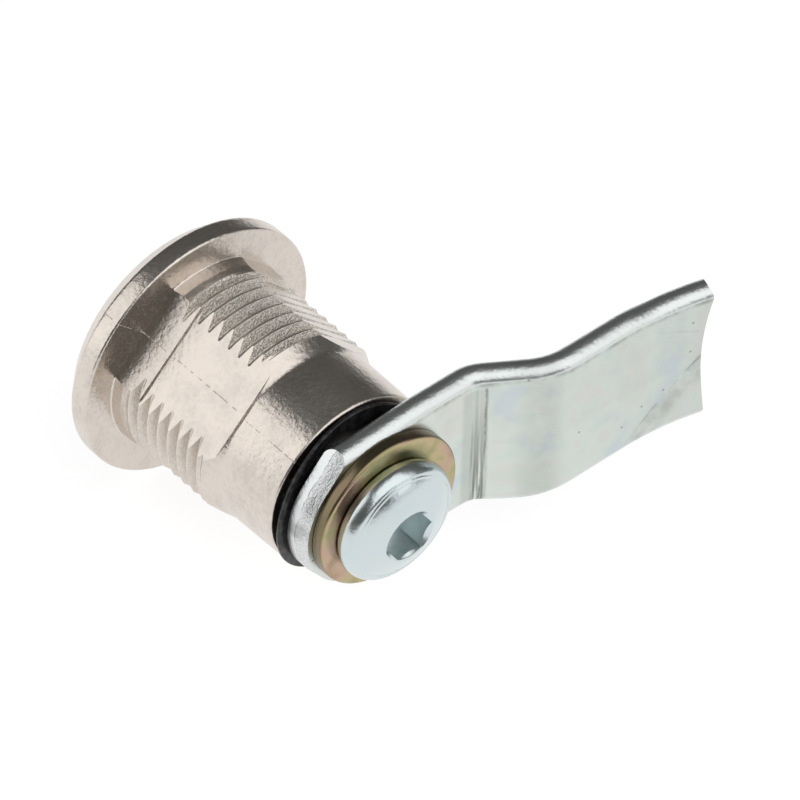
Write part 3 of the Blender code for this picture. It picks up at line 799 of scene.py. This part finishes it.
def cam_line(reach):
    """Place of the strip's middle line at each reach, and its slope angle.

    Level at the hub, then an arc, a straight ramp, a wider arc back to level, and at the tongue's end
    a slow curve of large radius.
    """
    middle = CAM_FRONT + CAM_THICKNESS / 2
    sine = math.sin(CRANK_ANGLE)
    near_start = CRANK_START - CRANK_RADIUS_NEAR * math.tan(CRANK_ANGLE / 2)
    far_end = (
        CRANK_START + CRANK_OFFSET / math.tan(CRANK_ANGLE) + CRANK_RADIUS_FAR * math.tan(CRANK_ANGLE / 2)
    )
    near = np.clip(reach - near_start, 0.0, CRANK_RADIUS_NEAR * sine)
    far = np.clip(far_end - reach, 0.0, CRANK_RADIUS_FAR * sine)
    ramp_end = far_end - CRANK_RADIUS_FAR * sine
    ramp_start = near_start + CRANK_RADIUS_NEAR * sine
    tongue = np.maximum(reach - TONGUE_CURVE_START, 0.0)
    near_rise = CRANK_RADIUS_NEAR - np.sqrt(CRANK_RADIUS_NEAR**2 - near**2)
    ramp_rise = np.clip(reach - ramp_start, 0.0, ramp_end - ramp_start) * math.tan(CRANK_ANGLE)
    far_whole = CRANK_RADIUS_FAR * (1 - math.cos(CRANK_ANGLE))
    far_rise = far_whole - (CRANK_RADIUS_FAR - np.sqrt(CRANK_RADIUS_FAR**2 - far**2))
    tongue_rise = TONGUE_CURVE_RADIUS - np.sqrt(TONGUE_CURVE_RADIUS**2 - tongue**2)
    slope = np.arcsin(near / CRANK_RADIUS_NEAR) - CRANK_ANGLE + np.arcsin(far / CRANK_RADIUS_FAR)
    slope = slope + np.arcsin(tongue / TONGUE_CURVE_RADIUS)
    return middle + near_rise + ramp_rise + far_rise + tongue_rise, slope


def make_cam():
    """The strip's rounded section carried along its middle line.

    The share of the way along the strip is the grid's row and the place round the section its column,
    and rows stand closer at the bends.
    Near the nose and the tip the rows close up on the crop lines, which are an arc with a tangent for
    the nose and a hollow arc for the tip. The first and last rows then shrink through the thickness to
    the middle line, which closes both ends. The nose's crop leans in from its middle to its rear, where
    the metal tore, and its front edge is a little round. The lower edge spreads a little at the bends,
    the upper edge drops a little towards the nose and the tip, and the tip's corners are worn round.
    """
    half_width = CAM_WIDTH / 2
    half_thickness = CAM_THICKNESS / 2
    flat = half_width - EDGE_ACROSS
    across = np.linspace(-flat, flat, 41)
    corner = np.radians(np.linspace(0.0, 90.0, 9))
    edge = np.stack([EDGE_ACROSS * np.sin(corner), EDGE_THROUGH * np.cos(corner)], axis=-1)
    wall = half_thickness - EDGE_THROUGH
    rear = np.stack([across, np.full_like(across, half_thickness)], axis=-1)
    upper_rear = edge + (flat, wall)
    upper_front = edge[::-1] * (1, -1) + (flat, -wall)
    front = rear[::-1] * (1, -1)
    section = np.concatenate([rear, upper_rear[1:], upper_front, front[1:]])
    section = np.concatenate([section, upper_front[::-1][1:] * (-1, 1), upper_rear[::-1] * (-1, 1)])
    aside, through = section.T
    stations = np.concatenate([np.linspace(*part) for part in CAM_ROWS])[:, None]
    closing = np.array(END_ROWS)[:, None]
    last = len(closing)
    stations = np.concatenate([
        np.full_like(closing, -NOSE_RADIUS), stations, np.full_like(closing, CAM_REACH),
    ])
    shrink = np.concatenate([closing[::-1], np.ones_like(stations[last:-last]), closing])
    through = through * shrink
    height = CAM_OFFSET + aside
    arc_reach = -np.sqrt(np.maximum(NOSE_RADIUS**2 - height**2, 0.0))
    shear_reach = -(NOSE_RADIUS - height * math.sin(NOSE_SHEAR_ANGLE)) / math.cos(NOSE_SHEAR_ANGLE)
    nose = np.where(height > NOSE_RADIUS * math.sin(NOSE_SHEAR_ANGLE), shear_reach, arc_reach)
    rounding = np.clip(-through - half_thickness + CROP_ROUND, 0.0, CROP_ROUND)
    nose = nose + CROP_ROUND - np.sqrt(CROP_ROUND**2 - rounding**2)
    nose = nose + CROP_LEAN * np.maximum(through, 0.0) / half_thickness
    hollow = TIP_CUT_RADIUS - np.sqrt(TIP_CUT_RADIUS**2 - (height - TIP_CUT_OFFSET) ** 2)
    tip = CAM_REACH + hollow * math.cos(math.asin((CAM_REACH - TONGUE_CURVE_START) / TONGUE_CURVE_RADIUS))
    nose_share = (stations + NOSE_RADIUS) / (NOSE_BLEND_END + NOSE_RADIUS)
    tip_share = (stations - TIP_BLEND_START) / (CAM_REACH - TIP_BLEND_START)
    reach = np.where(nose_share < 1, nose + (NOSE_BLEND_END - nose) * nose_share, stations)
    corner_share = np.clip((np.abs(aside) - half_width) / TIP_CORNER_HEIGHT + 1.0, 0.0, 1.0)
    lower_share = np.clip(-(aside / half_width) - TIP_STRAIGHT_SHARE, 0.0, 1.0) / (1.0 - TIP_STRAIGHT_SHARE)
    tip = tip - TIP_CORNER * (corner_share**2 + lower_share**2)
    reach = np.where(tip_share > 0, TIP_BLEND_START + (tip - TIP_BLEND_START) * tip_share, reach)
    outward = aside / half_width
    hump = np.exp(-(((reach - BEND_SPREAD_REACH) / BEND_SPREAD_LENGTH) ** 2))
    drop = np.clip((reach - TIP_DROP_START) / TIP_DROP_LENGTH, 0.0, 1.0)
    drop = drop * drop * (3 - 2 * drop)
    drop = TIP_DROP * drop + NOSE_DROP * np.clip((NOSE_DROP_START - reach) / NOSE_DROP_LENGTH, 0.0, 1.0)
    height = height + BEND_SPREAD * hump * np.minimum(outward, 0.0) - drop * np.maximum(outward, 0.0)
    place, slope = cam_line(reach)
    points = np.stack([
        -reach + through * np.sin(slope), place + through * np.cos(slope), height,
    ], axis=-1)
    cam = solid_from_grid("cranked_cam", points)
    square = [(x * CAM_HOLE / 2, y * CAM_HOLE / 2) for x, y in ((1, -1), (1, 1), (-1, 1), (-1, -1))]
    through_cam = along_axis(CAM_FRONT - 1.0 * MM, CAM_FRONT + CAM_THICKNESS + 1.0 * MM)
    cut(cam, [prism("hole", square, through_cam)])
    return cam


def sum_of(tree, first, second, share=1.0):
    """The first value plus a share of the second."""
    return worked_out(tree, "MULTIPLY_ADD", second, share, first)


def above_line(tree, where, start, end):
    """How far a point of the cam's face lies above the line through two (reach, height) points."""
    length = math.dist(start, end)
    along = ((end[0] - start[0]) / length, (end[1] - start[1]) / length)
    across = {0: where, 1: (along[1], 0.0, along[0])}
    away = add(tree, "ShaderNodeVectorMath", across, operation="DOT_PRODUCT").outputs["Value"]
    return worked_out(tree, "ADD", away, along[1] * start[0] - along[0] * start[1])


def ramp_of(tree, value, stops):
    """A colour for each value, from stops of (position, colour)."""
    node = add(tree, "ShaderNodeValToRGB", {"Fac": value})
    elements = node.color_ramp.elements
    for element, (position, color) in zip(elements, (stops[0], stops[-1])):
        element.position = position
        element.color = (*color, 1.0)
    for position, color in stops[1:-1]:
        elements.new(position).color = (*color, 1.0)
    return node.outputs[0]


def specks(tree, across, height):
    """Small dark dots, one in some of the cells of a face."""
    place = add(tree, "ShaderNodeCombineXYZ", {"X": across, "Y": height}).outputs[0]
    cells = add(
        tree, "ShaderNodeTexVoronoi", {"Vector": place, "Scale": 360.0}, voronoi_dimensions="2D",
    ).outputs
    chance = add(tree, "ShaderNodeSeparateColor", {0: cells["Color"]}).outputs[0]
    chosen = worked_out(tree, "GREATER_THAN", chance, 0.84)
    return product(tree, chosen, run(tree, cells["Distance"], 0.03, 0.06, 1.0, 0.0), 0.75)


def clear_zinc():
    """Clear passivated zinc on bent steel.

    Pale colours drift over it in clouds, and a painted shade greys it towards the tip. At the near bend
    the press left a grey band and a streaked band, and a painted highlight runs along the bend's crest
    beside a dark crease; these end under the rolled edge, and at the far bend lies a smudge. A scratch
    and a rub cross the tongue, and a painted dark reflection runs under the upper rolled edge. The
    cropped nose is smooth at its front, torn and grainy behind a ragged line, and the rolled edge is
    finely rippled and painted lighter, partly as a painted highlight.
    """
    material, tree, shader, where, facing = new_finish("cam_zinc")
    split = add(tree, "ShaderNodeSeparateXYZ", {0: where}).outputs
    facing = add(tree, "ShaderNodeSeparateXYZ", {0: facing}).outputs
    reach = product(tree, split["X"], -1.0)
    cloud = noise(tree, where, 190.0)
    patch = noise(tree, where, 420.0, 4.0, 0.65)
    fine = noise(tree, where, 2300.0, 3.0, 0.6)
    crumbs = noise(tree, where, 5200.0, 2.0, 0.6)
    patchy = run(tree, patch, 0.35, 0.65)

    # Marks of the press across the strip, a painted highlight on the bend's crest, a dark crease
    # and a smudge, at places that waver with the patches.
    long_grain = {0: where, 1: (3600.0, 300.0, 120.0)}
    stretched = add(tree, "ShaderNodeVectorMath", long_grain, operation="MULTIPLY").outputs[0]
    streaky = run(tree, noise(tree, stretched, 1.0, 2.0), 0.28, 0.58)
    wavy = sum_of(tree, reach, worked_out(tree, "SUBTRACT", patch, 0.5), MARK_WAVE)
    leaning = sum_of(tree, wavy, worked_out(tree, "MINIMUM", split["Z"], 0.0), -0.05)
    worse = run(tree, split["Z"], -8.0 * MM, 6.0 * MM, 1.0, 0.35)
    inside = run(tree, split["Z"], MARKS_TOP - 0.5 * MM, MARKS_TOP, 1.0, 0.0)
    uneven_line = sum_of(tree, 0.5, patchy, 0.4)
    press = product(tree, band(tree, wavy, PRESS_REACH, 0.3 * MM, 0.8 * MM), inside, 0.24)
    streaks = product(tree, band(tree, wavy, STREAK_REACH, 0.5 * MM, 0.5 * MM), inside, streaky, worse)
    # Painted highlight along the bend's crest, brightest towards the upper edge.
    crest = product(tree, band(tree, wavy, CREST_REACH, 0.1 * MM, 0.25 * MM), inside)
    crest = product(tree, crest, sum_of(tree, 1.0, worse, -0.8))
    crease = product(tree, band(tree, leaning, CREASE_REACH, 0.03 * MM, 0.2 * MM), inside, uneven_line)
    smudge = product(tree, band(tree, wavy, FAR_BEND_REACH, 0.6 * MM, 2.4 * MM), uneven_line, 0.26)

    # Marks on the tongue, and a painted dark reflection along the upper rolled edge.
    tongue = run(tree, reach, SCRATCH_START[0] - 1.5 * MM, SCRATCH_START[0] + 0.5 * MM)
    tongue = product(tree, tongue, patchy)
    scratched = above_line(tree, where, SCRATCH_START, SCRATCH_END)
    scratch = product(tree, band(tree, scratched, 0.0, 0.04 * MM, 0.25 * MM), tongue, 0.6)
    below = product(tree, band(tree, scratched, -1.2 * MM, 0.6 * MM, 1.6 * MM), tongue, 0.34)
    rubbed = above_line(tree, where, RUB_START, RUB_END)
    rub = product(tree, band(tree, rubbed, 0.0, 0.04 * MM, 0.14 * MM), tongue, 0.25)
    turned_up = worked_out(tree, "ABSOLUTE", facing["Z"])
    upper = worked_out(tree, "GREATER_THAN", split["Z"], 0.0)
    # Painted dark reflection: a dark line where the upper rolled edge turns into the face.
    edge_dark_reflection = product(tree, band(tree, turned_up, 0.14, 0.06, 0.10), patchy, upper, 0.6)
    speck = specks(tree, split["X"], split["Z"])
    # Dark marks, with the painted dark reflection among them, all take the same dark colour.
    dark = largest(tree, press, streaks, crease, smudge, scratch, below, rub, speck, edge_dark_reflection)

    # Rolled edge, painted lighter partly as a painted highlight, and the crop's face at the nose with its
    # tear.
    rolled = run(tree, turned_up, 0.10, 0.30)
    cropped = worked_out(tree, "GREATER_THAN", facing["X"], 0.70)
    torn_place = sum_of(tree, split["Y"], worked_out(tree, "SUBTRACT", patch, 0.5), TEAR_WAVE)
    torn = product(tree, run(tree, torn_place, TEAR_PLACE, TEAR_PLACE + 0.1 * MM), cropped)
    ragged = product(tree, band(tree, torn_place, TEAR_PLACE, 0.02 * MM, 0.07 * MM), cropped, patchy, 0.8)
    grit = product(tree, torn, run(tree, crumbs, 0.36, 0.58, 0.6, 0.0))

    # Painted shade: the colour greys towards the tip.
    tip_shade = run(tree, reach, 10.0 * MM, CAM_REACH, 0.0, 0.24)
    color = mixed(tree, tip_shade, ramp_of(tree, cloud, ZINC_FILM), ZINC_TIP_SHADE)
    # The rolled edge's lighter colour is partly a painted highlight.
    for share, tone in (
        (rolled, ZINC_ROLLED_AND_HIGHLIGHT), (cropped, ZINC_CROPPED), (grit, GRIT_COLOR), (ragged, TEAR_COLOR),
        (crest, ZINC_CREST_HIGHLIGHT), (dark, DIRT_AND_SHADE_COLOR),
    ):
        color = mixed(tree, share, color, tone)
    skin = dented(tree, patch, SKIN_DEPTH)
    rippled = dented(tree, fine, RIPPLE_DEPTH, run(tree, rolled, 0.0, 1.0, 0.06, 1.0), Normal=skin)
    tear_depth = sum_of(tree, product(tree, torn, crumbs), dark, -0.5)
    connect(tree, shader, {
        "Base Color": color,
        "Roughness": run(tree, cloud, 0.0, 1.0, 0.24, 0.36),
        "Normal": dented(tree, tear_depth, MARK_DEPTH, Normal=rippled),
        "Metallic": 1.0,
    })
    return material


cam = make_cam()
cam.data.materials.clear()
cam.data.materials.append(clear_zinc())
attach(cam, "rotor")
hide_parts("cam")


# Flat washer: punched from steel sheet with a rounded rear edge, and yellow passivated. It lies
# between the cam and the screw's head.
CAM_REAR = CAM_FRONT + CAM_THICKNESS
WASHER_FRONT = CAM_REAR + 0.04 * MM
WASHER_THICKNESS = 1.36 * MM
WASHER_REAR = WASHER_FRONT + WASHER_THICKNESS
WASHER_RADIUS = 8.7 * MM
WASHER_HOLE = 3.3 * MM
WASHER_SHIFT = -0.35 * MM
WASHER_FILM = (
    (0.36, (0.34, 0.31, 0.16)), (0.45, (0.47, 0.39, 0.22)), (0.53, (0.50, 0.34, 0.26)),
    (0.62, (0.36, 0.27, 0.17)),
)
WASHER_SIDE_SHADE = (0.17, 0.135, 0.085, 1.0)


def make_flat_washer():
    """A rectangle with rounded corners, turned round an axis a little aside of the lock's."""
    middle = (WASHER_FRONT + WASHER_REAR) / 2
    line = rounded([
        (WASHER_HOLE, middle, 0.0), (WASHER_HOLE, WASHER_FRONT, 0.2 * MM),
        (WASHER_RADIUS, WASHER_FRONT, 0.06 * MM), (WASHER_RADIUS, WASHER_REAR, 0.35 * MM),
        (WASHER_HOLE, WASHER_REAR, 0.2 * MM), (WASHER_HOLE, middle, 0.0),
    ], steps=5)
    angle = np.linspace(0.0, 2 * math.pi, 193)
    points = around(line[:, :1], line[:, 1:], angle) + (WASHER_SHIFT, 0.0, 0.0)
    return solid_from_grid("round_washer", points)


def yellow_zinc():
    """Yellow passivated zinc: a film that runs from olive and straw to pink and brown, with painted shade
    on the rounded edge and side.
    """
    material, tree, shader, where, facing = new_finish("washer_yellow_zinc")
    facing = add(tree, "ShaderNodeSeparateXYZ", {0: facing}).outputs
    film = ramp_of(tree, noise(tree, where, 190.0), WASHER_FILM)
    connect(tree, shader, {
        # Painted shade: darker brown where the surface turns away from the rear face.
        "Base Color": mixed(tree, run(tree, facing["Y"], 0.3, 0.8, 0.85, 0.0), film, WASHER_SIDE_SHADE),
        "Roughness": 0.28,
        "Normal": dented(tree, noise(tree, where, 1500.0), 0.012 * MM),
        "Metallic": 1.0,
    })
    return material


flat_washer = make_flat_washer()
flat_washer.data.materials.append(yellow_zinc())
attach(flat_washer, "rotor")
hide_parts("flat_washer")


# Cam screw: a zinc-plated socket screw with a wide flanged head that rises in a dome to its hexagon
# socket, cold formed. Its shank runs in the insert's tapped hole.
HEAD_FRONT = WASHER_REAR + 0.1 * MM
HEAD_RADIUS = 6.85 * MM
HEAD_FOOT_RADIUS = 6.45 * MM
HEAD_FOOT_HEIGHT = 0.9 * MM
HEAD_FOOT_ROUND = 0.2 * MM
CROWN_RADIUS = 6.0 * MM
CROWN_PLACE = HEAD_FRONT + 2.3 * MM
RING_HEIGHT = 0.12 * MM
RING_WIDTH = 0.28 * MM
RING_ROUND = 0.05 * MM
DRAW_END = 84.0
DOME_EDGE_SLOPE = math.radians(33.0)
DOME_MOUTH_SLOPE = math.radians(19.0)
SCREW_RADIUS = 2.85 * MM
SCREW_LENGTH = 12.0 * MM
SHANK_CHAMFER = 0.6 * MM
SOCKET_FLATS = 5.0 * MM
SOCKET_DEPTH = 3.0 * MM
SOCKET_TURN = math.radians(-3.0)
SOCKET_MOUTH = 3.0 * MM
SOCKET_CHAMFER_SLOPE = 0.75
SOCKET_ASIDE = (0.14 * MM, 0.0, -0.39 * MM)
SOCKET_ROWS = 4
SCREW_FILM = ((0.3, (0.60, 0.675, 0.70)), (0.7, (0.64, 0.69, 0.675)))


def make_screw():
    """A turned head and shank, whose socket rows change from a round mouth to a hexagon.

    The head's side draws in from its foot along a quarter of an ellipse, at whose top a narrow raised
    ring runs round the dome. The dome's slope eases fast from the ring towards the mouth. From the
    round mouth a cone falls to the hexagon's wall, which it meets deeper at the flats than at the
    corners, and the wall runs down to the floor. The socket was struck a little off the middle, so its
    rows, from the mouth's on, are moved aside.
    """
    sixth = math.pi / 3
    angle = SOCKET_TURN + np.linspace(0.0, 2 * math.pi, 193)
    ring_inside = CROWN_RADIUS - RING_WIDTH
    ring_place = CROWN_PLACE + RING_HEIGHT
    dome_radius = np.linspace(ring_inside, SOCKET_MOUTH, 18)
    slope = DOME_MOUTH_SLOPE + (DOME_EDGE_SLOPE - DOME_MOUTH_SLOPE) * np.linspace(1.0, 0.0, 17) ** 3
    dome_place = ring_place + np.concatenate([[0.0], np.cumsum(-np.diff(dome_radius) * np.tan(slope))])
    dome = np.stack([dome_radius, dome_place], axis=-1)
    quarter = np.radians(np.linspace(0.0, DRAW_END, 15))
    draw = np.stack([
        CROWN_RADIUS + (HEAD_RADIUS - CROWN_RADIUS) * np.cos(quarter),
        HEAD_FRONT + HEAD_FOOT_HEIGHT + (CROWN_PLACE - HEAD_FRONT - HEAD_FOOT_HEIGHT) * np.sin(quarter),
    ], axis=-1)
    screw_tip = HEAD_FRONT - SCREW_LENGTH
    shank = [
        (0.0, screw_tip), (SCREW_RADIUS - SHANK_CHAMFER, screw_tip),
        (SCREW_RADIUS, screw_tip + SHANK_CHAMFER),
    ]
    foot = rounded([
        (SCREW_RADIUS, HEAD_FRONT, 0.0), (HEAD_FOOT_RADIUS, HEAD_FRONT, HEAD_FOOT_ROUND), (*draw[0], 0.0),
    ])[:-1]
    ring = rounded([
        (*draw[-1], 0.0), (CROWN_RADIUS - RING_ROUND, ring_place, RING_ROUND), (*dome[0], RING_ROUND),
        (*dome[1], 0.0),
    ], steps=6)[1:-1]
    line = np.concatenate([shank, foot, draw, ring, dome[1:]])
    floor = dome[-1][1] - SOCKET_DEPTH
    hexagon = SOCKET_FLATS / 2 / np.cos((angle - SOCKET_TURN) % sixth - sixth / 2)
    wall_top = dome[-1][1] - (SOCKET_MOUTH - hexagon) * SOCKET_CHAMFER_SLOPE
    ones = np.ones_like(angle)
    radius = np.concatenate([line[:, :1] * ones, [hexagon, hexagon, 0.0 * ones]])
    place = np.concatenate([line[:, 1:] * ones, [wall_top, floor * ones, floor * ones]])
    points = around(radius, place, angle)
    points[-SOCKET_ROWS:] += SOCKET_ASIDE
    return solid_from_grid("socket_screw", points, sharp_degrees=28.0)


def bright_zinc():
    """Bright clear passivated zinc on a cold-formed head: pale blue, with an uneven skin."""
    material, tree, shader, where, _ = new_finish("screw_zinc")
    cloud = noise(tree, where, 240.0)
    connect(tree, shader, {
        "Base Color": ramp_of(tree, cloud, SCREW_FILM),
        "Roughness": run(tree, cloud, 0.0, 1.0, 0.2, 0.3),
        "Normal": dented(tree, noise(tree, where, 1300.0), 0.035 * MM),
        "Metallic": 1.0,
    })
    return material


screw = make_screw()
screw.data.materials.append(bright_zinc())
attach(screw, "rotor")
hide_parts("cam_screw")
